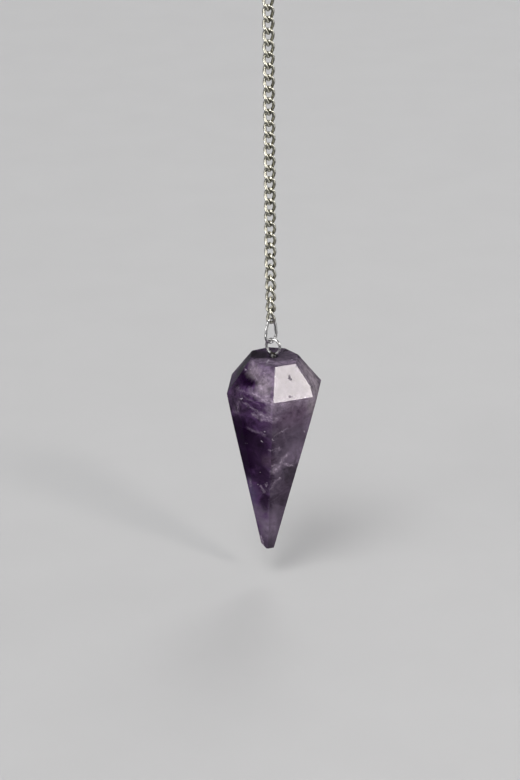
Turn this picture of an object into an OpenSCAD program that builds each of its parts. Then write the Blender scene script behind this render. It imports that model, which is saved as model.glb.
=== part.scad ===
// Pendulum pendant: a faceted stone cone, point down, on a twisted curb chain
//
// All sizes are in millimetres. +Z is up and the chain hangs along the Z axis. The origin is the
// point inside the top of the end ring that a hook or a finger carries. -Y faces the viewer and
// +X is the viewer's right. A bearing is measured from -Y, growing towards +X.

/* [End ring] */
// Outer diameter of the plain ring that the chain hangs from
ring_outer_d = 9.0; // [7.5:0.1:14]
// Wire thickness of the end ring
ring_wire = 0.8; // [0.6:0.05:1]

/* [Chain] */
// Number of curb links
link_count = 30; // [6:1:40]
// Wire thickness of a curb link
link_wire = 0.6; // [0.4:0.02:0.66]
// Free width inside a link
link_inner_w = 1.12; // [1.04:0.02:1.6]
// Free length inside a link
link_inner_l = 2.3; // [2:0.02:3.2]
// Angle by which each end of a link is twisted out of the chain's flat side
link_twist = 50; // [44:1:54]
// Turn of the topmost link about the chain
turn_top = 25; // [0:1:40]
// Turn of the last link that hangs as the chain's long run does
turn_mid = 15; // [0:1:40]
// Turn of the lowest link, where the chain has wound itself round
turn_low = -60; // [-75:1:-50]
// Number of links over which the lower end winds round
winding_links = 9; // [6:1:14]

/* [Connector link] */
// Outer width of the teardrop link
drop_link_w = 3.5; // [3:0.1:5]
// Outer height of the teardrop link
drop_link_h = 5.5; // [4.8:0.1:8]
// Wire thickness of the teardrop link
drop_link_wire = 0.56; // [0.4:0.02:0.64]
// Turn of the teardrop link's plane, from +X towards +Y
drop_link_turn = 47; // [0:1:90]

/* [Eye pin] */
// Outer diameter of the eye
eye_outer_d = 3.5; // [3.4:0.1:6]
// Wire thickness of the eye
eye_wire = 0.5; // [0.4:0.02:0.64]
// Turn of the eye's plane, from +X towards +Y
eye_turn = -30; // [-60:1:0]
// Angle by which the eye has slid round the teardrop link's wire
eye_slip = 28; // [0:1:40]
// Thickness of the pin under the eye
pin_d = 1.1; // [0.8:0.05:1.8]
// Length of the pin below the eye's wire
pin_l = 5.0; // [3:0.1:8]
// Height of the eye over the stone's table
eye_stand = 0.35; // [0.05:0.01:1]

/* [Stone] */
// Width of the stone across its girdle
stone_w = 18.4; // [12:0.1:30]
// Height of the crown, from the girdle up to the table
crown_h = 6.1; // [3:0.05:9]
// Height of the long lower cone, from the girdle down to the blunt tip
cone_h = 35.1; // [24:0.1:50]
// Width of the table as a share of the girdle's
table_share = 0.54; // [0.45:0.01:0.7]
// Width of the blunt tip
tip_w = 2.5; // [1.2:0.1:4]
// Sideways offset of the girdle from the plumb line
stone_shift_x = 0.42; // [0:0.01:1]
// Offset of the girdle away from the viewer, which brings the stone's weight under the link
stone_shift_y = 0.05; // [-1:0.01:1]
// Sideways offset of the tip from the girdle's centre
tip_lean = -1.36; // [-2:0.02:2]
// Height of the small facet ground on the side of the tip
tip_facet_h = 0.95; // [0.5:0.05:2]

/* [Fits] */
// Clearance where one link hangs in the next
link_gap = 0.12; // [0.1:0.01:0.16]
// Clearance where the end ring and the teardrop link meet the chain
end_gap = 0.24; // [0.16:0.01:0.26]
// Clearance where the eye hangs on the teardrop link
eye_gap = 0.06; // [0.04:0.01:0.12]
// Clearance all round the pin in its bore
pin_gap = 0.05; // [0.02:0.01:0.15]

/* [Hidden] */
// Each row is a corner of the girdle: its bearing, its reach as a share of half the width, and the
// run of the crown facet that starts there as a share of the usual run from girdle to table
GIRDLE = [
    [-1.5, 1.01, 0.78],
    [54, 1.12, 1.02],
    [103, 1.04, 1.07],
    [148, 1.02, 1.04],
    [190, 1.02, 1.04],
    [235, 1.09, 1.02],
    [294, 1.085, 1.15],
    [313.5, 1.04, 0.85],
];
// Angle of the tip's small facet from upright
tip_facet_angle = 40;
// Bearing angle that the tip's small facet faces
tip_facet_turn = 285;
// Bearing angle that the small facet at the girdle's right front corner faces
corner_facet_turn = 77;
// Angle by which that facet looks up
corner_facet_tilt = 19;
// Distance of that facet from the girdle's centre, as a share of half the stone's width
corner_facet_share = 0.9;

// Roundness of a curb link's oval: 1 is an ellipse and less is a fuller shape
link_power = 0.85;
// Sections round a curb link's loop
link_sections = 16;
// Sides of the curb links' and the teardrop link's wire
wire_sides = 6;
// Extra width of the teardrop's upper bend
hook_room = 0.08;
// Steps of the teardrop's upper bend
upper_steps = 4;
// Steps of the teardrop's lower bend
lower_steps = 8;
// Facets of a full circle, of a ring seen from the side
true_round = 96;
// Facets of a full circle, of a ring's wire, the pin or its bore
bore_round = 64;

// Link sizes on the wire's centreline
link_half_w = (link_inner_w + link_wire) / 2;
link_half_l = (link_inner_l + link_wire) / 2;
link_pitch = link_inner_l - link_gap;
ring_r = (ring_outer_d - ring_wire) / 2;
ring_z = -(ring_outer_d / 2 - ring_wire);
first_link_z = ring_z - ring_r + (ring_wire + link_wire) / 2 + end_gap - link_half_l;
last_link_z = first_link_z - (link_count - 1) * link_pitch;

// Teardrop bends, on the wire's centreline: the upper one goes round the lowest curb link's wire
hook_r = (link_wire + drop_link_wire) / 2 + end_gap;
upper_r = hook_r + hook_room;
lower_r = (drop_link_w - drop_link_wire) / 2;
drop_link_top_z = last_link_z - link_half_l + hook_r;
drop_link_low_z = drop_link_top_z - (drop_link_h - drop_link_wire);
bend_spacing = drop_link_h - drop_link_wire - upper_r - lower_r;
flank_angle = asin((lower_r - upper_r) / bend_spacing);

// The eye hangs on the bottom of the teardrop, which is the pendant's swing axis
eye_r = (eye_outer_d - eye_wire) / 2;
eye_drop = eye_r - (eye_wire + drop_link_wire) / 2 - eye_gap;
eye_x = eye_drop * sin(eye_slip) * cos(eye_turn);
eye_y = eye_drop * sin(eye_slip) * sin(eye_turn);
eye_z = drop_link_low_z - eye_drop * cos(eye_slip);

table_z = eye_z - eye_outer_d / 2 - eye_stand;
girdle_z = table_z - crown_h;
tip_z = girdle_z - cone_h;
pin_end_z = eye_z - eye_r - pin_l;
bore_d = pin_d + 2 * pin_gap;
half_w = stone_w / 2;
corners = len(GIRDLE);
cone_slope = (stone_w - tip_w) / 2 / cone_h;

function numbered(i) = str("chain_link_", i < 10 ? "0" : "", i);

function unit(v) = v / norm(v);
function fuller(v) = sign(v) * pow(abs(v), link_power);

// One loop of a twisted oval link, centred on the origin
function curb_path(turn) = [
    for (i = [0:link_sections - 1])
        let (t = 360 * i / link_sections,
             side = link_half_w * fuller(cos(t)),
             rise = fuller(sin(t)),
             plane = turn - link_twist * rise)
        [side * cos(plane), side * sin(plane), link_half_l * rise]
];

// One loop of the teardrop in the XZ plane, its lowest point on the origin
function teardrop_path() = concat(
    [for (i = [0:upper_steps])
        let (a = flank_angle + (180 - 2 * flank_angle) * i / upper_steps)
        [upper_r * cos(a), 0, lower_r + bend_spacing + upper_r * sin(a)]],
    [for (i = [0:lower_steps])
        let (a = 180 - flank_angle + (180 + 2 * flank_angle) * i / lower_steps)
        [lower_r * cos(a), 0, lower_r + lower_r * sin(a)]]
);

// Turn of link i about the chain: nearly steady down the long run, then winding round quickly
function link_turn(i) =
    let (last_steady = link_count - winding_links)
    i <= last_steady
        ? turn_top + (turn_mid - turn_top) * (i - 1) / (last_steady - 1)
        : turn_mid + (turn_low - turn_mid) * (i - last_steady) / winding_links;

// Corner i of the girdle's outline, or of the smaller tip's, from its own centre
function corner(i, width) =
    let (row = GIRDLE[i % corners])
    width / 2 * row[1] * [sin(row[0]), -cos(row[0])];

// The way in across girdle edge i, and how far its crown facet runs that way
function inward(i) =
    let (edge = unit(corner(i + 1, stone_w) - corner(i, stone_w)))
    [-edge.y, edge.x];
function facet_run(i) = half_w * (1 - table_share) * GIRDLE[i % corners][2];

// Corner i of the table, where the two crown facets beside it meet
function table_corner(i) =
    let (before = i + corners - 1,
         a = inward(before),
         b = inward(i),
         run_a = facet_run(before),
         run_b = facet_run(i))
    corner(i, stone_w) + [run_a * b.y - run_b * a.y, run_b * a.x - run_a * b.x] / cross(a, b);

// Bends a wire round a closed path that goes about centre
module closed_wire(path, wire, centre) {
    n = len(path);
    points = [
        for (i = [0:n - 1])
            let (p = path[i],
                 along = unit(path[(i + 1) % n] - path[(i + n - 1) % n]),
                 away = p - centre,
                 out = unit(away - (away * along) * along),
                 side = cross(along, out))
            for (j = [0:wire_sides - 1])
                let (a = 360 * j / wire_sides)
                p + wire / 2 * (cos(a) * out + sin(a) * side)
    ];
    faces = [
        for (i = [0:n - 1])
            for (j = [0:wire_sides - 1])
                let (here = i * wire_sides + j,
                     beside = i * wire_sides + (j + 1) % wire_sides,
                     next = ((i + 1) % n) * wire_sides + j,
                     opposite = ((i + 1) % n) * wire_sides + (j + 1) % wire_sides)
                each [[here, next, opposite], [here, opposite, beside]]
    ];
    polyhedron(points = points, faces = faces, convexity = 6);
}

// A round ring that stands upright in the XZ plane, centred on the origin
module round_ring(r, wire) {
    rotate([90, 0, 0])
        rotate_extrude($fn = true_round)
            translate([r, 0])
                circle(d = wire, $fn = bore_round);
}

module end_ring() {
    color("silver")
        translate([0, 0, ring_z])
            rotate([0, 0, 90])
                round_ring(ring_r, ring_wire);
}

module chain_link(i) {
    color("palegoldenrod")
        translate([0, 0, first_link_z - (i - 1) * link_pitch])
            closed_wire(curb_path(link_turn(i)), link_wire, [0, 0, 0]);
}

module connector_link() {
    color("silver")
        translate([0, 0, drop_link_low_z])
            rotate([0, 0, drop_link_turn])
                closed_wire(teardrop_path(), drop_link_wire, [0, 0, lower_r]);
}

// The eye and its pin are one soldered piece
module eye_pin() {
    color("silver")
        translate([eye_x, eye_y, eye_z]) {
            rotate([0, 0, eye_turn])
                round_ring(eye_r, eye_wire);
            translate([0, 0, -eye_r - pin_l])
                cylinder(d = pin_d, h = pin_l, $fn = bore_round);
        }
}

// The eight-sided cut: blunt tip, girdle and table, with every facet flat
module stone_cut() {
    middle = [stone_shift_x, stone_shift_y];
    level = [for (i = [0:corners - 1]) i];
    points = concat(
        [for (i = level) concat(middle + [tip_lean, 0] + corner(i, tip_w), tip_z)],
        [for (i = level) concat(middle + corner(i, stone_w), girdle_z)],
        [for (i = level) concat(middle + table_corner(i), table_z)]
    );
    faces = concat(
        [level],
        [for (row = [0, corners]) for (i = level)
            let (j = (i + 1) % corners)
            [row + i, row + corners + i, row + corners + j, row + j]],
        [[for (i = level) 3 * corners - 1 - i]]
    );
    polyhedron(points = points, faces = faces, convexity = 2);
}

// What the small facet takes off the side of the tip
module tip_facet() {
    block = 4 * tip_w + tip_facet_h;
    cut = tip_facet_h * (tan(tip_facet_angle) - cone_slope);
    translate([stone_shift_x + tip_lean, stone_shift_y, tip_z])
        rotate([0, 0, tip_facet_turn - 90])
            translate([tip_w / 2 - cut, 0, 0])
                rotate([0, tip_facet_angle, 0])
                    translate([0, -block / 2, -block])
                        cube([block, block, 2 * block]);
}

// What the small facet takes off the girdle's right front corner
module corner_facet() {
    translate([stone_shift_x, stone_shift_y, girdle_z])
        rotate([0, -corner_facet_tilt, corner_facet_turn - 90])
            translate([half_w * corner_facet_share, -half_w, -half_w])
                cube(stone_w);
}

module stone() {
    color("mediumpurple")
        difference() {
            stone_cut();
            tip_facet();
            corner_facet();
            translate([eye_x, eye_y, pin_end_z - pin_gap])
                cylinder(d = bore_d, h = eye_z - pin_end_z + pin_gap, $fn = bore_round);
        }
}

end_ring();
for (i = [1:link_count])
    chain_link(i);
connector_link();
eye_pin();
stone();
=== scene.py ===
import math
import random

import bmesh
import bpy
from mathutils import Matrix, Vector


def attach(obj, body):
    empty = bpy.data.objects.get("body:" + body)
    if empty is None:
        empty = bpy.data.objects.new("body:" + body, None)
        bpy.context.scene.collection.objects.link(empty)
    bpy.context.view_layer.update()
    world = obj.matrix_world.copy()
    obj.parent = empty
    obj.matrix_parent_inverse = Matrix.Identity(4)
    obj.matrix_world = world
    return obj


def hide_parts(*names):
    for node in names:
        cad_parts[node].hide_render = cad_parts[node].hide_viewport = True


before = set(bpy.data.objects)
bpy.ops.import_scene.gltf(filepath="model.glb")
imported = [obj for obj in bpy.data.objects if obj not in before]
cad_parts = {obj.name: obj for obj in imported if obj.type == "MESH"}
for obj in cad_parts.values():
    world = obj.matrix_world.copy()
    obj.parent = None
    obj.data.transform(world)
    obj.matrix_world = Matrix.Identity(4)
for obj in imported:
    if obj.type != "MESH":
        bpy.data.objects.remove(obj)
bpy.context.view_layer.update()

MM = 0.001

# Sizes, repeated from the part's source, in millimetres and degrees
RING_OUTER_D, RING_WIRE = 9.0, 0.8
LINK_COUNT, WINDING_LINKS = 30, 9
LINK_WIRE, LINK_INNER_W, LINK_INNER_L = 0.6, 1.12, 2.3
LINK_TWIST, LINK_POWER = 50, 0.85
TURN_TOP, TURN_MID, TURN_LOW = 25, 15, -60
DROP_LINK_W, DROP_LINK_H, DROP_LINK_WIRE, DROP_LINK_TURN = 3.5, 5.5, 0.56, 47
HOOK_ROOM = 0.08
EYE_OUTER_D, EYE_WIRE, EYE_TURN, EYE_SLIP = 3.5, 0.5, -30, 28
PIN_D, PIN_L, EYE_STAND = 1.1, 5.0, 0.35
STONE_W, CROWN_H, CONE_H = 18.4, 6.1, 35.1
TABLE_SHARE, TIP_W = 0.54, 2.5
STONE_SHIFT_X, STONE_SHIFT_Y, TIP_LEAN = 0.42, 0.05, -1.36
TIP_FACET_H, TIP_FACET_ANGLE, TIP_FACET_TURN = 0.95, 40, 285
CORNER_FACET_TURN, CORNER_FACET_TILT, CORNER_FACET_SHARE = 77, 19, 0.9
LINK_GAP, END_GAP, EYE_GAP, PIN_GAP = 0.12, 0.24, 0.06, 0.05
# Bearing and reach of each corner of the girdle, and the run of the crown facet that starts there
GIRDLE = [(-1.5, 1.01, 0.78), (54, 1.12, 1.02), (103, 1.04, 1.07), (148, 1.02, 1.04),
          (190, 1.02, 1.04), (235, 1.09, 1.02), (294, 1.085, 1.15), (313.5, 1.04, 0.85)]

LINK_HALF_W = (LINK_INNER_W + LINK_WIRE) / 2
LINK_HALF_L = (LINK_INNER_L + LINK_WIRE) / 2
LINK_PITCH = LINK_INNER_L - LINK_GAP
RING_R = (RING_OUTER_D - RING_WIRE) / 2
RING_Z = -(RING_OUTER_D / 2 - RING_WIRE)
FIRST_LINK_Z = RING_Z - RING_R + (RING_WIRE + LINK_WIRE) / 2 + END_GAP - LINK_HALF_L
LAST_LINK_Z = FIRST_LINK_Z - (LINK_COUNT - 1) * LINK_PITCH
HOOK_R = (LINK_WIRE + DROP_LINK_WIRE) / 2 + END_GAP
UPPER_R = HOOK_R + HOOK_ROOM
LOWER_R = (DROP_LINK_W - DROP_LINK_WIRE) / 2
DROP_LINK_LOW_Z = LAST_LINK_Z - LINK_HALF_L + HOOK_R - (DROP_LINK_H - DROP_LINK_WIRE)
BEND_SPACING = DROP_LINK_H - DROP_LINK_WIRE - UPPER_R - LOWER_R
FLANK_ANGLE = math.degrees(math.asin((LOWER_R - UPPER_R) / BEND_SPACING))
EYE_R = (EYE_OUTER_D - EYE_WIRE) / 2
EYE_DROP = EYE_R - (EYE_WIRE + DROP_LINK_WIRE) / 2 - EYE_GAP
EYE_SIDE = EYE_DROP * math.sin(math.radians(EYE_SLIP))
EYE = Vector((EYE_SIDE * math.cos(math.radians(EYE_TURN)),
              EYE_SIDE * math.sin(math.radians(EYE_TURN)),
              DROP_LINK_LOW_Z - EYE_DROP * math.cos(math.radians(EYE_SLIP))))
TABLE_Z = EYE.z - EYE_OUTER_D / 2 - EYE_STAND
GIRDLE_Z = TABLE_Z - CROWN_H
TIP_Z = GIRDLE_Z - CONE_H
PIN_END_Z = EYE.z - EYE_R - PIN_L
BORE_R = PIN_D / 2 + PIN_GAP
HALF_W = STONE_W / 2
CORNERS = len(GIRDLE)

# The photograph is taken from in front, 23 degrees above the level, with a long lens and a slight tilt
VIEW_ELEVATION = math.radians(23)
VIEW_ROLL = math.radians(0.62)
VIEW_LENS, VIEW_SENSOR = 104.2, 36.0
VIEW_NEAR, VIEW_FAR = 0.01, 20.0
VIEW_POINT = Vector((-2.258, -405.31, 84.91)) * MM


def add_camera():
    data = bpy.data.cameras.new("photo_camera")
    data.lens = VIEW_LENS
    data.sensor_width = VIEW_SENSOR
    data.clip_start = VIEW_NEAR
    data.clip_end = VIEW_FAR
    camera = bpy.data.objects.new("photo_camera", data)
    bpy.context.scene.collection.objects.link(camera)
    aim = Vector((0, math.cos(VIEW_ELEVATION), -math.sin(VIEW_ELEVATION)))
    upright = aim.to_track_quat("-Z", "Y").to_matrix().to_4x4()
    camera.matrix_world = Matrix.Translation(VIEW_POINT) @ upright @ Matrix.Rotation(-VIEW_ROLL, 4, "Z")
    bpy.context.scene.camera = camera
    return camera


class Nodes:
    """Adds shader nodes to one material and links them by their sockets."""

    def __init__(self, name):
        self.material = bpy.data.materials.new(name)
        self.material.use_nodes = True
        self.tree = self.material.node_tree
        self.tree.nodes.clear()
        self.out = self.tree.nodes.new("ShaderNodeOutputMaterial")

    def node(self, kind, **settings):
        made = self.tree.nodes.new("ShaderNode" + kind)
        for name, value in settings.items():
            setattr(made, name, value)
        return made

    def plug(self, source, target):
        """Links a socket, or sets a plain value."""
        if isinstance(source, bpy.types.NodeSocket):
            self.tree.links.new(source, target)
        else:
            target.default_value = source

    def math(self, operation, a, b=0.0, clamp=False):
        made = self.node("Math", operation=operation, use_clamp=clamp)
        self.plug(a, made.inputs[0])
        self.plug(b, made.inputs[1])
        return made.outputs[0]

    def vector_math(self, operation, a, b=(0, 0, 0), scale=None):
        made = self.node("VectorMath", operation=operation)
        self.plug(a, made.inputs[0])
        self.plug(b, made.inputs[1])
        if scale is not None:
            self.plug(scale, made.inputs["Scale"])
        gives_number = operation in ("DOT_PRODUCT", "LENGTH", "DISTANCE")
        return made.outputs["Value"] if gives_number else made.outputs[0]

    def ramp(self, value, low, high, to_low=0.0, to_high=1.0, smooth=True):
        made = self.node("MapRange", interpolation_type="SMOOTHSTEP" if smooth else "LINEAR")
        self.plug(value, made.inputs["Value"])
        made.inputs["From Min"].default_value = low
        made.inputs["From Max"].default_value = high
        made.inputs["To Min"].default_value = to_low
        made.inputs["To Max"].default_value = to_high
        return made.outputs["Result"]

    def mix(self, share, a, b):
        made = self.node("Mix", data_type="RGBA")
        self.plug(share, made.inputs["Factor"])
        self.plug(a, made.inputs[6])
        self.plug(b, made.inputs[7])
        return made.outputs[2]

    def noise(self, vector, scale, detail=3.0, roughness=0.5, distortion=0.0, ridged=False):
        made = self.node("TexNoise", noise_dimensions="3D")
        if ridged:
            made.noise_type = "RIDGED_MULTIFRACTAL"
        self.plug(vector, made.inputs["Vector"])
        made.inputs["Scale"].default_value = scale
        made.inputs["Detail"].default_value = detail
        made.inputs["Roughness"].default_value = roughness
        made.inputs["Distortion"].default_value = distortion
        return made.outputs["Fac"]

    def stretch(self, vector, scale=(1, 1, 1), turn=(0, 0, 0), shift=(0, 0, 0)):
        made = self.node("Mapping")
        self.plug(vector, made.inputs["Vector"])
        made.inputs["Scale"].default_value = scale
        made.inputs["Rotation"].default_value = [math.radians(a) for a in turn]
        made.inputs["Location"].default_value = shift
        return made.outputs[0]

    def bump(self, height, strength, distance, normal=None):
        made = self.node("Bump")
        made.inputs["Strength"].default_value = strength
        made.inputs["Distance"].default_value = distance
        self.plug(height, made.inputs["Height"])
        if normal is not None:
            self.plug(normal, made.inputs["Normal"])
        return made.outputs[0]

    def finish(self, base_color, roughness, normal, **constants):
        shader = self.node("BsdfPrincipled")
        self.plug(base_color, shader.inputs["Base Color"])
        self.plug(roughness, shader.inputs["Roughness"])
        if normal is not None:
            self.plug(normal, shader.inputs["Normal"])
        for name, value in constants.items():
            self.plug(value, shader.inputs[name.replace("_", " ")])
        self.tree.links.new(shader.outputs[0], self.out.inputs["Surface"])
        return self.material


def millimetres(nodes):
    """Place on the piece at rest, in millimetres."""
    place = nodes.node("TexCoord").outputs["Object"]
    return nodes.vector_math("SCALE", place, scale=1 / MM)


def metal(name, clean, tarnish_and_shade_color, roughness, tarnish_and_shade_share, crevice):
    """Drawn and tumbled wire: polished where it is handled, dull in the bends and crevices, and dark there
    with tarnish and painted shade.
    """
    n = Nodes(name)
    place = millimetres(n)
    along = n.node("UVMap", uv_map="wire").outputs[0]
    draw_lines = n.noise(n.stretch(along, (0.35, 9.0, 1.0)), 4.0, 4.0, 0.6)
    dents = n.noise(place, 3.2, 3.0, 0.55)
    blotches = n.noise(place, 1.1, 4.0, 0.6)
    tarnish_and_shade = n.node("Attribute", attribute_name="tarnish_and_shade").outputs["Fac"]
    # Painted shade: an occlusion node darkens crevices and the places where wires lie close together
    occlusion = n.node("AmbientOcclusion", samples=8)
    occlusion.inputs["Distance"].default_value = crevice * MM
    painted_occlusion_shade = n.ramp(occlusion.outputs["AO"], 0.25, 0.85, 1.0, 0.0)
    # Tarnish and painted shade: the darker of the wire's own mask and the occlusion's painted shade,
    # broken into blotches
    dirt_and_shade = n.math("MAXIMUM", tarnish_and_shade, painted_occlusion_shade)
    dirt_and_shade = n.math("MULTIPLY", dirt_and_shade, n.ramp(blotches, 0.3, 0.62, 0.6, 1.0))
    dirt_and_shade = n.math("MULTIPLY", dirt_and_shade, tarnish_and_shade_share, clamp=True)
    tone = n.mix(n.ramp(blotches, 0.35, 0.7), clean, [c * 0.9 for c in clean[:3]] + [1])
    color = n.mix(dirt_and_shade, tone, tarnish_and_shade_color)
    drawn = n.ramp(draw_lines, 0.3, 0.7, roughness * 0.8, roughness * 1.3)
    rough = n.math("ADD", drawn, n.math("MULTIPLY", dirt_and_shade, 0.2))
    normal = n.bump(dents, 0.25, 0.00006)
    normal = n.bump(draw_lines, 0.18, 0.00002, normal)
    return n.finish(color, rough, normal, Metallic=1.0)


# Colours of the stone, as linear red, green and blue
STONE_COLORS = {
    "black_violet": (0.0068, 0.001, 0.0108),
    "deep_violet": (0.016, 0.0066, 0.0215),
    "violet": (0.042, 0.020, 0.056),
    "blue_violet": (0.050, 0.036, 0.073),
    "mauve": (0.105, 0.066, 0.105),
    "grey_lavender": (0.096, 0.072, 0.105),
    "dark_smoke": (0.010, 0.007, 0.010),
    "smoke": (0.040, 0.031, 0.043),
    "violet_smoke": (0.046, 0.031, 0.050),
    "pale_lavender": (0.200, 0.152, 0.217),
    "pale_grey": (0.250, 0.210, 0.236),
    "milky": (0.132, 0.102, 0.145),
}

# Zones of colour, painted in this order: middle, reach along each axis, colour and strength.
# A zone lies in the stone as it does in the photograph, and is in millimetres like all that follows.
ZONES = [
    ((4.0, -7.0, -89.0), (6.0, 9.0, 4.0), "mauve", 0.6),
    ((-3.0, -7.0, -89.5), (5.0, 6.0, 3.5), "violet", 0.7),
    ((-7.5, -5.0, -88.0), (3.0, 4.0, 4.0), "violet_smoke", 0.5),
    ((-6.0, -5.0, -95.0), (4.5, 6.0, 6.5), "black_violet", 1.0),
    ((-5.5, -3.0, -102.0), (3.5, 5.0, 5.5), "black_violet", 0.95),
    ((-4.6, -4.2, -99.5), (2.2, 3.0, 4.0), "black_violet", 0.9),
    ((-2.0, -5.5, -97.5), (3.0, 5.0, 5.0), "deep_violet", 0.85),
    ((-1.5, -4.0, -103.5), (2.2, 4.0, 4.5), "deep_violet", 0.9),
    ((-4.5, -2.0, -108.5), (2.0, 4.0, 4.5), "blue_violet", 0.85),
    ((1.5, -6.6, -95.0), (1.8, 3.0, 2.2), "violet_smoke", 0.5),
    ((-0.6, -5.8, -99.6), (1.6, 2.5, 1.8), "mauve", 0.35),
    ((5.0, -4.5, -99.0), (2.6, 4.0, 3.4), "pale_lavender", 0.55),
    ((4.0, -3.5, -103.5), (2.6, 4.0, 2.6), "smoke", 0.75),
    ((2.5, -3.0, -108.0), (2.6, 4.0, 4.0), "violet_smoke", 0.65),
    ((-1.5, -3.0, -109.6), (1.4, 3.0, 3.1), "deep_violet", 0.9),
    ((-3.2, -2.0, -112.8), (1.8, 3.0, 3.0), "milky", 0.45),
    ((-0.5, -2.0, -116.0), (2.4, 4.0, 4.5), "milky", 0.85),
    ((0.2, -2.4, -115.0), (0.8, 1.5, 4.0), "pale_lavender", 0.4),
    ((-1.8, -1.8, -117.4), (0.9, 1.6, 2.2), "violet", 0.1),
    ((-1.2, -1.2, -121.0), (2.2, 3.0, 3.0), "smoke", 0.75),
    ((-6.2, 0.5, -82.0), (2.8, 5.5, 3.0), "dark_smoke", 0.9),
    ((0.5, 0.5, -80.0), (6.5, 6.0, 0.9), "smoke", 0.6),
    ((-3.4, 0.6, -80.0), (3.2, 3.2, 0.9), "dark_smoke", 0.8),
    ((-1.8, -2.4, -80.2), (2.6, 1.4, 0.8), "pale_lavender", 0.55),
    ((-1.6, -5.0, -80.6), (1.9, 2.0, 1.2), "pale_lavender", 0.6),
    ((-4.9, -4.4, -83.0), (2.6, 3.0, 1.5), "black_violet", 0.95),
    ((-4.2, -5.5, -83.0), (1.6, 2.0, 1.15), "black_violet", 0.95),
    ((-5.2, -6.8, -86.0), (1.8, 2.0, 1.0), "deep_violet", 0.6),
    ((-0.2, -7.0, -82.8), (1.7, 3.0, 3.0), "pale_lavender", 0.8),
    ((-1.5, -6.8, -84.0), (2.0, 3.0, 2.4), "pale_grey", 0.5),
    ((-3.2, -4.2, -81.5), (1.9, 3.5, 1.6), "pale_grey", 0.4),
    ((7.5, -2.0, -83.5), (3.0, 5.0, 3.6), "pale_grey", 0.8),
    ((8.4, -2.6, -85.2), (1.6, 3.0, 2.2), "pale_grey", 1.0),
    ((7.9, -5.6, -87.6), (1.5, 2.5, 3.4), "pale_grey", 0.7),
    ((6.8, -5.6, -91.5), (1.0, 2.0, 4.0), "pale_lavender", 0.4),
    ((2.6, -3.5, -80.0), (5.0, 1.5, 0.9), "pale_lavender", 0.75),
    ((0.9, -8.4, -87.3), (2.4, 2.5, 2.2), "pale_lavender", 0.6),
    # Dark round the mouth of the bore: glue residue and painted shade
    ((0.4, -0.2, -80.2), (1.3, 1.3, 1.2), "black_violet", 0.9),
    ((3.0, 6.0, -92.0), (4.5, 4.0, 6.0), "deep_violet", 0.7),
    ((-4.0, 5.5, -86.5), (4.0, 4.0, 3.0), "mauve", 0.6),
    ((7.5, 2.5, -95.0), (3.0, 4.0, 5.0), "violet", 0.6),
    ((-2.0, 4.5, -102.0), (3.0, 3.5, 4.5), "smoke", 0.6),
    ((1.5, 3.0, -110.5), (3.0, 3.0, 4.0), "pale_lavender", 0.4),
    ((-7.5, 3.5, -91.0), (3.0, 4.0, 5.0), "black_violet", 0.75),
    ((5.5, 6.0, -83.0), (3.5, 3.0, 2.0), "pale_lavender", 0.4),
]

# Healed fractures as the photograph shows them from in front: places (x, z) along each, the width of
# its bright line and of the haze beside it, and its strength
VEILS = [
    (((-2.3, -83.6), (-1.6, -84.6), (-0.6, -85.4), (0.7, -86.2)), 0.40, 1.1, 0.75),
    (((-3.9, -84.6), (-2.9, -84.9), (-1.6, -85.5), (0.2, -86.5), (1.8, -86.7)), 0.26, 1.0, 0.72),
    (((0.8, -87.0), (3.4, -86.5), (7.4, -86.5)), 0.30, 2.2, 0.75),
    (((-6.3, -84.6), (-5.0, -84.8), (-3.5, -85.3), (-1.5, -86.2)), 0.12, 0.5, 0.28),
    (((-6.6, -85.0), (-5.2, -85.6), (-3.6, -86.4), (-2.0, -87.0)), 0.08, 0.3, 0.16),
    (((-5.6, -87.0), (-4.2, -87.7), (-2.6, -88.6)), 0.14, 0.4, 0.42),
    (((-2.1, -89.0), (-1.4, -89.3), (-0.4, -89.6), (1.0, -89.6)), 0.26, 1.2, 0.75),
    (((-3.6, -89.1), (-2.0, -90.0), (0.6, -90.3)), 0.12, 0.7, 0.5),
    (((-4.5, -92.5), (-3.0, -93.0), (-1.5, -93.6)), 0.10, 0.6, 0.32),
    (((0.5, -93.8), (3.0, -92.2)), 0.10, 0.4, 0.4),
    (((-0.8, -97.0), (0.4, -97.1), (1.6, -96.8)), 0.12, 0.4, 0.4),
    (((0.1, -102.2), (1.1, -101.3), (2.0, -99.8), (2.8, -98.8)), 0.34, 1.0, 0.85),
    (((2.0, -100.6), (2.9, -100.8), (3.8, -101.5)), 0.14, 0.5, 1.0),
    (((0.2, -100.8), (1.2, -100.6)), 0.12, 0.4, 0.6),
    (((-0.5, -106.4), (0.5, -104.6), (1.4, -104.0)), 0.10, 0.4, 0.45),
    (((-6.9, -89.6), (-6.6, -87.2), (-6.2, -86.1)), 0.18, 0.6, 0.2),
    (((-2.2, -106.1), (-1.8, -107.3)), 0.12, 0.4, 0.55),
    (((-1.4, -105.0), (-1.3, -106.0)), 0.11, 0.3, 0.55),
    (((-4.5, -105.2), (-4.3, -106.4)), 0.12, 0.6, 0.35),
    (((-3.7, -80.3), (-3.2, -81.2), (-2.9, -82.2)), 0.16, 0.8, 0.4),
    (((-2.6, -81.6), (-1.3, -82.4), (-0.4, -82.2)), 0.12, 0.6, 0.35),
    (((5.0, -80.7), (6.6, -82.6), (8.6, -85.3)), 0.22, 0.8, 0.45),
    (((5.2, -80.0), (7.4, -82.4), (9.3, -85.0)), 0.20, 0.6, 0.4),
    (((9.6, -85.4), (9.0, -88.0), (8.3, -91.0)), 0.22, 0.7, 0.5),
    (((-2.3, -118.4), (-1.9, -121.3)), 0.14, 0.4, 1.0),
]

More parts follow.
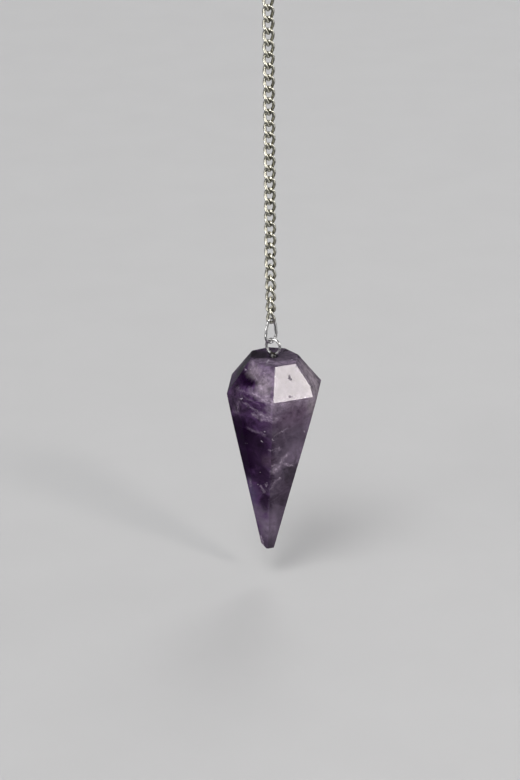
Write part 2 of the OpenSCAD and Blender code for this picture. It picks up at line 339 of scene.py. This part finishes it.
# Painted glints, bright specks where a tiny crack catches the light: places (x, z)
GLINT_PLACES = [(-2.0, -95.0), (0.2, -94.4), (2.0, -93.0), (6.2, -93.6), (-2.4, -102.5),
          (1.3, -103.9), (-2.9, -105.6), (-5.0, -81.6), (-6.0, -86.0), (-4.0, -81.2), (-1.3, -81.0)]

# Small open pits in the facet that mirrors the light: places (x, z)
PITS = [(3.4, -82.1), (3.6, -82.4), (3.7, -85.4)]

VEIL_COLOR = (0.36, 0.29, 0.37, 1)
GLINT_COLOR = (0.55, 0.48, 0.56, 1)
# How far inside the stone its inner detail is read
READ_DEPTH = 2.2
ZONE_BLUR = 0.45
# Where the facet that mirrors the light faces
CLEAR_FACING = (0.30, -0.82, 0.49)
QUARTZ_IOR = 1.545


def veil_cover(n, flat, grain, mist):
    """How much the healed fractures hide of the stone's own colour, from 0 to 1."""
    cover = None
    for points, line, haze, strength in VEILS:
        near = None
        for a, b in zip(points, points[1:]):
            run = Vector((b[0] - a[0], 0, b[1] - a[1]))
            offset = n.vector_math("SUBTRACT", flat, (a[0], 0, a[1]))
            along = n.vector_math("DOT_PRODUCT", offset, run[:])
            share = n.math("MULTIPLY", along, 1 / run.length_squared, clamp=True)
            away = n.vector_math("DISTANCE", offset, n.vector_math("SCALE", run[:], scale=share))
            near = away if near is None else n.math("MINIMUM", near, away)
        bright = n.math("MULTIPLY", n.ramp(near, line * 0.2, line, strength, 0.0), grain)
        soft = n.math("MULTIPLY", n.ramp(near, 0.0, haze, strength * 0.5, 0.0), mist)
        both = n.math("MAXIMUM", bright, soft)
        cover = both if cover is None else n.math("MAXIMUM", cover, both)
    return cover


def amethyst():
    n = Nodes("amethyst")
    place = millimetres(n)
    facing = n.node("TexCoord").outputs["Normal"]
    # A facet shows what lies behind it, so inner detail is read a little way inside the stone
    inside = n.vector_math("SUBTRACT", place, n.vector_math("SCALE", facing, scale=READ_DEPTH))
    xyz = n.node("SeparateXYZ")
    n.plug(place, xyz.inputs[0])
    x, y, z = xyz.outputs
    facing_xyz = n.node("SeparateXYZ")
    n.plug(facing, facing_xyz.inputs[0])

    clouds = n.noise(inside, 0.16, 5.0, 0.55)
    swirl = n.noise(inside, 0.45, 5.0, 0.6, 0.6)
    speckle = n.noise(inside, 1.1, 4.0, 0.62)

    def blob(centre, radius, blur):
        """1 in the middle of an ellipsoid and 0 outside, with a clouded border."""
        offset = n.vector_math("DIVIDE", n.vector_math("SUBTRACT", place, centre), radius)
        distance = n.vector_math("LENGTH", offset)
        reach = n.math("ADD", distance, n.ramp(swirl, 0.2, 0.8, -blur, blur, smooth=False))
        return n.ramp(reach, 0.35, 1.25, 1.0, 0.0)

    def color_of(name):
        return STONE_COLORS[name] + (1,)

    # Left facets look into the violet heart of the stone, right ones into its greyer side
    side = n.math("MULTIPLY", facing_xyz.outputs["X"], 0.2)
    side = n.math("ADD", side, n.ramp(clouds, 0.3, 0.7, -0.25, 0.25, smooth=False))
    side = n.math("ADD", side, n.math("MULTIPLY", x, 0.1))
    color = n.mix(n.ramp(side, -0.2, 0.2), color_of("violet"), color_of("grey_lavender"))
    for centre, radius, name, strength in ZONES:
        color = n.mix(n.math("MULTIPLY", blob(centre, radius, ZONE_BLUR), strength), color, color_of(name))
    grainy = n.ramp(z, -94.0, -84.0, 0.25, 1.0)
    # The facet that mirrors the light is the clearest
    clear = n.vector_math("DOT_PRODUCT", facing, CLEAR_FACING)
    grainy = n.math("MULTIPLY", grainy, n.ramp(clear, 0.97, 0.99, 1.0, 0.3))
    grainy = n.math("MULTIPLY", grainy, n.ramp(speckle, 0.34, 0.66, -0.4, 0.4, smooth=False))
    mottle = n.math("ADD", n.ramp(swirl, 0.3, 0.7, 0.62, 1.22, smooth=False), grainy)
    color = n.vector_math("SCALE", color, scale=mottle)

    def shift(scale, detail, reach):
        """A random shift of a place, as long as half the reach along each axis at most."""
        wander = n.node("TexNoise", noise_dimensions="3D")
        n.plug(place, wander.inputs["Vector"])
        wander.inputs["Scale"].default_value = scale
        wander.inputs["Detail"].default_value = detail
        centred = n.vector_math("SUBTRACT", wander.outputs["Color"], (0.5, 0.5, 0.5))
        return n.vector_math("SCALE", centred, scale=reach)

    bent = n.vector_math("ADD", place, shift(0.55, 5.0, 1.5))
    bent = n.vector_math("ADD", bent, shift(2.1, 4.0, 1.1))
    # The front shows the fractures from in front, the sides and back show them from aside
    front = n.ramp(y, -1.0, 1.0, 1.0, 0.0)
    aside = n.stretch(bent, (0.9, 1, 1), (0, 0, -127), (0, 0, 1.5))
    back = n.math("SUBTRACT", 1.0, front)
    flat = n.vector_math("SCALE", bent, scale=front)
    flat = n.vector_math("ADD", flat, n.vector_math("SCALE", aside, scale=back))
    flat = n.vector_math("MULTIPLY", flat, (1, 0, 1))
    mist = n.ramp(speckle, 0.32, 0.66, 0.5, 1.0)
    cover = veil_cover(n, flat, n.ramp(speckle, 0.38, 0.62, 0.3, 1.0), mist)
    # Neither drawing shows where one passes into the other
    seam = n.math("MULTIPLY", n.math("MULTIPLY", front, back), 4.0)
    cover = n.math("MULTIPLY", cover, n.math("SUBTRACT", 1.0, seam))
    wisps = n.noise(n.stretch(inside, (0.5, 0.5, 1.6), (0, -24, 0)), 0.35, 5.0, 0.55, 0.8, ridged=True)
    wisps = n.math("MULTIPLY", n.ramp(wisps, 0.6, 1.1, 0.0, 0.4), n.ramp(z, -96.0, -86.0))
    wisps = n.math("MULTIPLY", wisps, n.ramp(speckle, 0.4, 0.62, 0.2, 1.0))
    cover = n.math("MAXIMUM", cover, wisps)
    color = n.mix(cover, color, VEIL_COLOR)

    # Painted glints: bright specks where tiny cracks catch the light
    placed_glint = None
    for place_x, place_z in GLINT_PLACES:
        reach = n.ramp(n.vector_math("DISTANCE", flat, (place_x, 0, place_z)), 0.04, 0.22, 0.42, 0.0)
        placed_glint = reach if placed_glint is None else n.math("MAXIMUM", placed_glint, reach)
    cells = n.node("TexVoronoi", feature="F1")
    n.plug(inside, cells.inputs["Vector"])
    cells.inputs["Scale"].default_value = 0.5
    chosen = n.node("SeparateColor")
    n.plug(cells.outputs["Color"], chosen.inputs[0])
    scattered_glints = n.ramp(cells.outputs["Distance"], 0.05, 0.13, 0.45, 0.0)
    scattered_glints = n.math("MULTIPLY", scattered_glints, n.math("GREATER_THAN", chosen.outputs[0], 0.7))
    color = n.mix(n.math("MAXIMUM", placed_glint, scattered_glints), color, GLINT_COLOR)

    # Polished facets with faint lapping marks and a few pits
    scratches = n.noise(n.stretch(place, (0.4, 6.0, 3.0), (20, 35, 0)), 2.5, 4.0, 0.6)
    pits = n.node("TexVoronoi", feature="F1")
    n.plug(place, pits.inputs["Vector"])
    pits.inputs["Scale"].default_value = 0.55
    pit = n.ramp(pits.outputs["Distance"], 0.03, 0.09, 0.6, 0.0)
    for place_x, place_z in PITS:
        reach = n.ramp(n.vector_math("DISTANCE", flat, (place_x, 0, place_z)), 0.06, 0.32, 0.55, 0.0)
        pit = n.math("MAXIMUM", pit, n.math("MULTIPLY", reach, front))
    roughness = n.math("ADD", n.ramp(scratches, 0.35, 0.7, 0.05, 0.11), n.math("MULTIPLY", pit, 0.5))
    lapped = n.math("ADD", n.math("MULTIPLY", scratches, 0.12), n.math("MULTIPLY", clouds, 0.5))
    normal = n.bump(n.math("SUBTRACT", lapped, pit), 0.12, 0.0001)
    return n.finish(color, roughness, normal, IOR=QUARTZ_IOR, Specular_IOR_Level=0.15)


def closed_wire(name, path, wire, centre, sides, tarnish_and_shade):
    """A round wire along a closed path of points in millimetres, with its own length and girth as UV."""
    count = len(path)
    points, values = [], []
    for i, p in enumerate(path):
        along = (path[(i + 1) % count] - path[i - 1]).normalized()
        away = p - centre
        out = (away - away.dot(along) * along).normalized()
        side = along.cross(out)
        for a in full_turn(sides):
            points.append((p + wire / 2 * (math.cos(a) * out + math.sin(a) * side)) * MM)
            # Tarnish and painted shade of this point
            values.append(tarnish_and_shade(i / count, -math.cos(a)))
    faces, uvs = [], []
    length = 0.0
    for i in range(count):
        step = (path[(i + 1) % count] - path[i]).length
        for j in range(sides):
            beside, after = (j + 1) % sides, (i + 1) % count
            faces.append((i * sides + j, after * sides + j, after * sides + beside, i * sides + beside))
            v0, v1 = j / sides, (j + 1) / sides
            uvs += [(length, v0), (length + step, v0), (length + step, v1), (length, v1)]
        length += step
    mesh = bpy.data.meshes.new(name)
    mesh.from_pydata(points, [], faces)
    layer = mesh.uv_layers.new(name="wire")
    for loop, uv in zip(layer.data, uvs):
        loop.uv = uv
    attribute = mesh.attributes.new("tarnish_and_shade", "FLOAT", "POINT")
    for item, value in zip(attribute.data, values):
        item.value = value
    mesh.shade_smooth()
    made = bpy.data.objects.new(name, mesh)
    bpy.context.scene.collection.objects.link(made)
    return made


def place_piece(piece, body, slot, material, *nodes):
    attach(piece, body)
    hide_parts(*nodes)
    piece.data.materials.clear()
    piece.data.materials.append(material)
    return piece


def full_turn(steps):
    """Evenly spaced angles round a circle."""
    return [2 * math.pi * i / steps for i in range(steps)]


def round_path(r, turn, centre, steps):
    """A circle that stands upright, in a plane turned about Z."""
    turn = math.radians(turn)
    path = []
    for a in full_turn(steps):
        side = r * math.cos(a)
        path.append(centre + Vector((side * math.cos(turn), side * math.sin(turn), r * math.sin(a))))
    return path


def fuller(v):
    """Makes an oval of a circle's sine or cosine, fuller at its corners."""
    return math.copysign(abs(v) ** LINK_POWER, v)


def link_turn(i):
    """Turn of link i about the chain, in degrees."""
    last_steady = LINK_COUNT - WINDING_LINKS
    if i <= last_steady:
        return TURN_TOP + (TURN_MID - TURN_TOP) * (i - 1) / (last_steady - 1)
    return TURN_MID + (TURN_LOW - TURN_MID) * (i - last_steady) / WINDING_LINKS


def curb_path(turn, z, steps):
    """The twisted oval of one curb link."""
    path = []
    for i in range(steps):
        t = 2 * math.pi * i / steps
        side, rise = LINK_HALF_W * fuller(math.cos(t)), fuller(math.sin(t))
        plane = math.radians(turn - LINK_TWIST * rise)
        path.append(Vector((side * math.cos(plane), side * math.sin(plane), z + LINK_HALF_L * rise)))
    return path


FLANK_BOW = 0.16
RING_STEPS, RING_SIDES = 160, 24
LINK_STEPS, LINK_SIDES = 64, 14
TEARDROP_STEPS, TEARDROP_SIDES = (28, 64, 10), 20
EYE_STEPS, EYE_SIDES = 120, 20
PIN_SIDES = 32
# The eye's foot lies three quarters round its wire, where it goes into the bore; the painted shade there,
# over its solder, fades out on both sides
EYE_FOOT, FOOT_SHADE, FOOT_SHADE_FADE = 0.75, 2.4, 22


def teardrop_path(upper_steps, lower_steps, flank_steps):
    """The teardrop link, narrow end up."""
    def arc(r, height, start, stop, steps):
        angles = [math.radians(start + (stop - start) * i / steps) for i in range(steps + 1)]
        return [Vector((r * math.cos(a), 0, height + r * math.sin(a))) for a in angles]

    upper = arc(UPPER_R, LOWER_R + BEND_SPACING, FLANK_ANGLE, 180 - FLANK_ANGLE, upper_steps)
    lower = arc(LOWER_R, LOWER_R, 180 - FLANK_ANGLE, 360 + FLANK_ANGLE, lower_steps)

    def flank(a, b):
        # The flanks are bent by hand and bow out a little
        bow = Vector((math.copysign(FLANK_BOW, a.x), 0, 0))
        return [a.lerp(b, i / flank_steps) + bow * math.sin(math.pi * i / flank_steps) ** 2
                for i in range(1, flank_steps)]

    path = upper + flank(upper[-1], lower[0]) + lower + flank(lower[-1], upper[0])
    turn = Matrix.Rotation(math.radians(DROP_LINK_TURN), 3, "Z")
    return [turn @ p + Vector((0, 0, DROP_LINK_LOW_Z)) for p in path]


# Tarnish and painted shade at a point of a wire, from how far round its loop it lies and how far it faces
# inward: inner sides, where neighbours lie close, are darker
def ring_tarnish_and_shade(t, inward):
    return 0.25 * max(0.0, inward)


# Links are darker still at their bends, where their neighbours hang
def link_tarnish_and_shade(t, inward):
    bend = abs(math.sin(2 * math.pi * t)) ** 2
    return max(0.0, 0.35 + 0.65 * inward) * (0.55 + 0.45 * bend)


def teardrop_tarnish_and_shade(t, inward):
    return 0.3 * max(0.0, inward)


def eye_tarnish_and_shade(t, inward):
    """The eye's foot, where its solder goes into the bore, is painted dark as shade, and is dull; its
    inner side gets tarnish and painted shade.
    """
    return max(0.4 * inward, FOOT_SHADE - abs(t - EYE_FOOT) * FOOT_SHADE_FADE, 0.0)


def add_wire_pieces(chain_metal, fitting_metal):
    centre = Vector((0, 0, RING_Z))
    path = round_path(RING_R, 90, centre, RING_STEPS)
    ring = closed_wire("end_ring_wire", path, RING_WIRE, centre, RING_SIDES, ring_tarnish_and_shade)
    place_piece(ring, "chain", "fitting_metal", fitting_metal, "end_ring")
    for i in range(1, LINK_COUNT + 1):
        centre = Vector((0, 0, FIRST_LINK_Z - (i - 1) * LINK_PITCH))
        path = curb_path(link_turn(i), FIRST_LINK_Z - (i - 1) * LINK_PITCH, LINK_STEPS)
        link = closed_wire(f"curb_link_{i:02d}", path, LINK_WIRE, centre, LINK_SIDES, link_tarnish_and_shade)
        place_piece(link, "chain", "chain_metal", chain_metal, f"chain_link_{i:02d}")
    centre = Vector((0, 0, DROP_LINK_LOW_Z + LOWER_R))
    path = teardrop_path(*TEARDROP_STEPS)
    teardrop = closed_wire("teardrop_wire", path, DROP_LINK_WIRE, centre, TEARDROP_SIDES, teardrop_tarnish_and_shade)
    place_piece(teardrop, "chain", "fitting_metal", fitting_metal, "connector_link")
    path = round_path(EYE_R, EYE_TURN, EYE, EYE_STEPS)
    eye = closed_wire("eye_wire", path, EYE_WIRE, EYE, EYE_SIDES, eye_tarnish_and_shade)
    place_piece(eye, "drop", "fitting_metal", fitting_metal, "eye_pin")
    add_pin(fitting_metal)


def add_pin(fitting_metal):
    """The pin under the eye: turned, with a solder mound that runs up to the eye's wire."""
    top, bottom = -EYE_R, -EYE_R - PIN_L
    r = PIN_D / 2
    # Radius and height of each step, from the solder mound down to the rounded end
    profile = [(0.0, top + 0.02), (0.2, top), (0.36, top - 0.04), (0.47, top - 0.1),
               (0.53, top - 0.18), (r, top - 0.28), (r, bottom + 0.12),
               (r - 0.04, bottom + 0.04), (r - 0.12, bottom), (0.0, bottom)]
    bm = bmesh.new()
    rings = []
    for radius, height in profile:
        if radius == 0.0:
            rings.append([bm.verts.new((EYE + Vector((0, 0, height))) * MM)])
            continue
        rings.append([])
        for a in full_turn(PIN_SIDES):
            place = EYE + Vector((radius * math.cos(a), radius * math.sin(a), height))
            rings[-1].append(bm.verts.new(place * MM))
    for upper, lower in zip(rings, rings[1:]):
        for j in range(PIN_SIDES):
            k = (j + 1) % PIN_SIDES
            corners = [upper[j % len(upper)], lower[j % len(lower)],
                       lower[k % len(lower)], upper[k % len(upper)]]
            bm.faces.new(list(dict.fromkeys(corners)))
    mesh = bpy.data.meshes.new("eye_shank")
    bm.to_mesh(mesh)
    bm.free()
    mesh.shade_smooth()
    mesh.uv_layers.new(name="wire")
    # The whole pin is painted dark as shade, since it stands in the bore
    attribute = mesh.attributes.new("tarnish_and_shade", "FLOAT", "POINT")
    for item in attribute.data:
        item.value = 1.0
    pin = bpy.data.objects.new("eye_shank", mesh)
    bpy.context.scene.collection.objects.link(pin)
    place_piece(pin, "drop", "fitting_metal", fitting_metal, "eye_pin")


def outline_corner(i, width):
    """Corner of the girdle's outline, or of the smaller tip's, from its own centre."""
    bearing, reach, _ = GIRDLE[i % CORNERS]
    bearing = math.radians(bearing)
    return Vector((math.sin(bearing), -math.cos(bearing))) * width / 2 * reach


def table_outline_corner(i):
    """Where the two crown facets beside corner i meet at the table."""
    def facet(k):
        edge = (outline_corner(k + 1, STONE_W) - outline_corner(k, STONE_W)).normalized()
        return Vector((-edge.y, edge.x)), HALF_W * (1 - TABLE_SHARE) * GIRDLE[k % CORNERS][2]

    (a, run_a), (b, run_b) = facet(i - 1), facet(i)
    step = Vector((run_a * b.y - run_b * a.y, run_b * a.x - run_a * b.x)) / (a.x * b.y - a.y * b.x)
    return outline_corner(i, STONE_W) + step


def stone_corner(place, z, lean=0.0):
    return Vector((STONE_SHIFT_X + lean + place.x, STONE_SHIFT_Y + place.y, z))


def girdle_corner(i):
    return stone_corner(outline_corner(i, STONE_W), GIRDLE_Z)


def table_corner(i):
    return stone_corner(table_outline_corner(i), TABLE_Z)


EDGE_ROUND, EDGE_STEPS = 0.07, 3
# How much the long facets swell, as a share of their distance from the axis, and what makes the
# curve of the swell reach 1 at its highest
BULGE, BULGE_SCALE = 0.012, 9.48
BULGE_STEPS = 36
SHARP_ANGLE = math.radians(40)
BORE_SIDES, CHIP_SEED = 40, 7


def heading(turn):
    """The level direction of a bearing in degrees."""
    turn = math.radians(turn)
    return Vector((math.sin(turn), -math.cos(turn), 0))


def grind(bm, point, facing):
    """Takes off all that lies in front of a plane, and closes the cut with one facet."""
    everything = bm.verts[:] + bm.edges[:] + bm.faces[:]
    cut = bmesh.ops.bisect_plane(bm, geom=everything, plane_co=point, plane_no=facing, clear_outer=True)
    bmesh.ops.edgeloop_fill(bm, edges=[e for e in cut["geom_cut"] if isinstance(e, bmesh.types.BMEdge)])


def add_stone(material):
    bm = bmesh.new()
    tip = [bm.verts.new(stone_corner(outline_corner(i, TIP_W), TIP_Z, TIP_LEAN)) for i in range(CORNERS)]
    girdle = [bm.verts.new(girdle_corner(i)) for i in range(CORNERS)]
    table = [bm.verts.new(table_corner(i)) for i in range(CORNERS)]
    for i in range(CORNERS):
        j = (i + 1) % CORNERS
        bm.faces.new((tip[i], tip[j], girdle[j], girdle[i]))
        bm.faces.new((girdle[i], girdle[j], table[j], table[i]))
    bm.faces.new(tip[::-1])
    bm.faces.new(table)

    # The small facets on the side of the tip and at the girdle's right front corner
    lean, out = math.radians(TIP_FACET_ANGLE), heading(TIP_FACET_TURN)
    reach = TIP_W / 2 - TIP_FACET_H * (math.tan(lean) - (STONE_W - TIP_W) / 2 / CONE_H)
    foot = Vector((STONE_SHIFT_X + TIP_LEAN, STONE_SHIFT_Y, TIP_Z)) + out * reach
    grind(bm, foot, out * math.cos(lean) - Vector((0, 0, math.sin(lean))))
    lean, out = math.radians(CORNER_FACET_TILT), heading(CORNER_FACET_TURN)
    facing = out * math.cos(lean) + Vector((0, 0, math.sin(lean)))
    middle = Vector((STONE_SHIFT_X, STONE_SHIFT_Y, GIRDLE_Z))
    grind(bm, middle + facing * HALF_W * CORNER_FACET_SHARE, facing)
    bmesh.ops.recalc_face_normals(bm, faces=bm.faces[:])

    bmesh.ops.bevel(bm, geom=bm.edges[:], offset=EDGE_ROUND, offset_type="OFFSET",
                    segments=EDGE_STEPS, profile=0.5, affect="EDGES", clamp_overlap=True)
    # The long facets are lapped by hand, so they swell a little between the girdle and the tip
    for i in range(1, BULGE_STEPS):
        z = TIP_Z + (GIRDLE_Z - TIP_Z) * i / BULGE_STEPS
        everything = bm.verts[:] + bm.edges[:] + bm.faces[:]
        bmesh.ops.bisect_plane(bm, geom=everything, plane_co=(0, 0, z), plane_no=(0, 0, 1))
    for v in bm.verts:
        height = (v.co.z - TIP_Z) / (GIRDLE_Z - TIP_Z)
        if 0 < height < 1:
            axis_x = STONE_SHIFT_X + TIP_LEAN * (1 - height)
            full = height ** 3 * (1 - height) * BULGE_SCALE
            swell = 1 + BULGE * full
            v.co.x = axis_x + (v.co.x - axis_x) * swell
            v.co.y = STONE_SHIFT_Y + (v.co.y - STONE_SHIFT_Y) * swell
    for v in bm.verts:
        v.co *= MM
    mesh = bpy.data.meshes.new("stone_cut")
    bm.to_mesh(mesh)
    bm.free()
    stone = bpy.data.objects.new("stone_cut", mesh)
    bpy.context.scene.collection.objects.link(stone)
    drill_bore(stone)
    mesh = stone.data
    mesh.shade_smooth()
    edit = bmesh.new()
    edit.from_mesh(mesh)
    for e in edit.edges:
        if len(e.link_faces) == 2 and e.calc_face_angle() > SHARP_ANGLE:
            e.smooth = False
    edit.to_mesh(mesh)
    edit.free()
    weighted = stone.modifiers.new("weighted", "WEIGHTED_NORMAL")
    weighted.keep_sharp = True
    weighted.weight = 50
    place_piece(stone, "drop", "amethyst", material, "stone")
    return stone


def drill_bore(stone):
    """Takes the blind bore and its chipped mouth out of the stone."""
    depth = TABLE_Z - PIN_END_Z + PIN_GAP
    rough = random.Random(CHIP_SEED)
    # Radius and height over the table of each step of the drill, and how much its edge is chipped
    profile = [(BORE_R, -depth, 0.0), (BORE_R, -0.16, 0.0),
               (BORE_R + 0.1, 0.0, 0.07), (BORE_R + 0.3, 0.3, 0.07)]
    bm = bmesh.new()
    rings = []
    for radius, height, chip in profile:
        rings.append([])
        for a in full_turn(BORE_SIDES):
            r = radius + chip * rough.random()
            place = (EYE.x + r * math.cos(a), EYE.y + r * math.sin(a), TABLE_Z + height)
            rings[-1].append(bm.verts.new(place))
    for lower, upper in zip(rings, rings[1:]):
        for j in range(BORE_SIDES):
            k = (j + 1) % BORE_SIDES
            bm.faces.new((lower[j], lower[k], upper[k], upper[j]))
    bm.faces.new(rings[0][::-1])
    bm.faces.new(rings[-1])
    for v in bm.verts:
        v.co *= MM
    mesh = bpy.data.meshes.new("drill")
    bm.to_mesh(mesh)
    bm.free()
    drill = bpy.data.objects.new("drill", mesh)
    bpy.context.scene.collection.objects.link(drill)
    cut = stone.modifiers.new("bore", "BOOLEAN")
    cut.operation = "DIFFERENCE"
    cut.solver = "EXACT"
    cut.object = drill
    shaped = bpy.data.meshes.new_from_object(stone.evaluated_get(bpy.context.evaluated_depsgraph_get()))
    stone.modifiers.clear()
    stone.data = shaped
    bpy.data.objects.remove(drill)


# How far the floor lies under the tip, and its half width in metres
FLOOR_DROP = 7.0
FLOOR_REACH = 3.0
FLOOR_Z = (TIP_Z - FLOOR_DROP) * MM


def add_floor():
    n = Nodes("floor")
    place = millimetres(n)
    grain = n.noise(place, 0.05, 4.0, 0.5)
    color = n.mix(grain, (0.49, 0.485, 0.48, 1), (0.52, 0.515, 0.51, 1))
    material = n.finish(color, 0.75, None)
    bm = bmesh.new()
    bmesh.ops.create_grid(bm, x_segments=2, y_segments=2, size=FLOOR_REACH)
    mesh = bpy.data.meshes.new("floor")
    bm.to_mesh(mesh)
    bm.free()
    floor = bpy.data.objects.new("floor", mesh)
    floor.location.z = FLOOR_Z
    bpy.context.scene.collection.objects.link(floor)
    mesh.materials.append(material)
    # The photographed pendant hangs before a dark backdrop, so its gloss doesn't mirror the pale floor,
    # and low reflectors shine through the floor
    floor.visible_glossy = False
    floor.visible_shadow = False


def area_light(name, place, aim, size, power, color):
    data = bpy.data.lights.new(name, "AREA")
    data.shape = "RECTANGLE"
    data.size, data.size_y = size
    data.energy = power
    data.color = color
    light = bpy.data.objects.new(name, data)
    towards = (aim - place).to_track_quat("-Z", "Y").to_matrix().to_4x4()
    light.matrix_world = Matrix.Translation(place) @ towards
    bpy.context.scene.collection.objects.link(light)
    return light


def soft_light(name, direction, width, strength, gloss=True, matt=True):
    """A far light that comes from a direction, as wide as so many degrees of the sky."""
    data = bpy.data.lights.new(name, "SUN")
    data.angle = math.radians(width)
    data.energy = strength
    light = bpy.data.objects.new(name, data)
    light.matrix_world = Vector(direction).to_track_quat("Z", "Y").to_matrix().to_4x4()
    light.visible_glossy = gloss
    light.visible_diffuse = matt
    bpy.context.scene.collection.objects.link(light)
    return light


ROOM_LIGHT, ROOM_GLOSS = 0.40, 0.10
ROOM_COLOR = (0.93, 0.95, 1.0, 1)
# Distance and size of the key light in metres, and its power in watts
KEY_DISTANCE, KEY_SIZE, KEY_POWER = 0.85, (0.10, 0.10), 1.31
KEY_COLOR = (1.0, 0.955, 0.92)


def add_lights():
    # The room is soft and pale, and dimmer where the gloss mirrors it
    world = bpy.data.worlds.new("studio")
    world.use_nodes = True
    nodes, links = world.node_tree.nodes, world.node_tree.links
    room = nodes["Background"]
    room.inputs["Color"].default_value = ROOM_COLOR
    path = nodes.new("ShaderNodeLightPath")
    strength = nodes.new("ShaderNodeMapRange")
    links.new(path.outputs["Is Glossy Ray"], strength.inputs["Value"])
    strength.inputs["To Min"].default_value = ROOM_LIGHT
    strength.inputs["To Max"].default_value = ROOM_GLOSS
    links.new(strength.outputs["Result"], room.inputs["Strength"])
    bpy.context.scene.world = world

    # The key light stands where the front right crown facet mirrors it to the camera
    corners = [girdle_corner(0), girdle_corner(1), table_corner(1), table_corner(0)]
    centre = sum(corners, Vector()) / 4 * MM
    facing = (corners[1] - corners[0]).cross(corners[3] - corners[0]).normalized()
    to_camera = (VIEW_POINT - centre).normalized()
    mirrored = 2 * facing.dot(to_camera) * facing - to_camera
    area_light("key", centre + mirrored * KEY_DISTANCE, centre, KEY_SIZE, KEY_POWER, KEY_COLOR)
    # The soft lights are far off, so the floor is lit evenly
    soft_light("right", (0.95, 0.25, 0.26), 23, 0.52)
    soft_light("front_top", (-0.14, -0.30, 0.47), 30, 1.4)
    soft_light("left_front", (-0.40, -0.29, 0.06), 44, 2.1, gloss=False)
    # Reflectors that only the polished wire and facets mirror
    soft_light("left_reflector", (-0.40, -0.29, 0.04), 34, 1.1, matt=False)
    soft_light("low_right_reflector", (0.87, -0.22, -0.44), 40, 0.3, matt=False)
    soft_light("back_top", (0.15, 0.45, 0.45), 32, 0.65)


add_camera()
add_floor()
add_lights()
# Clean colour, dark colour of tarnish and painted shade, roughness, share of that darkening, and reach in
# millimetres of the occlusion that paints shade in crevices
chain_metal = metal("chain_silver", (0.93, 0.90, 0.76, 1), (0.05, 0.042, 0.016, 1), 0.25, 1.0, 1.1)
fitting_metal = metal("fitting_steel", (0.84, 0.83, 0.82, 1), (0.035, 0.030, 0.027, 1), 0.24, 0.92, 0.5)
add_wire_pieces(chain_metal, fitting_metal)
add_stone(amethyst())
bpy.context.scene.view_settings.view_transform = "Standard"
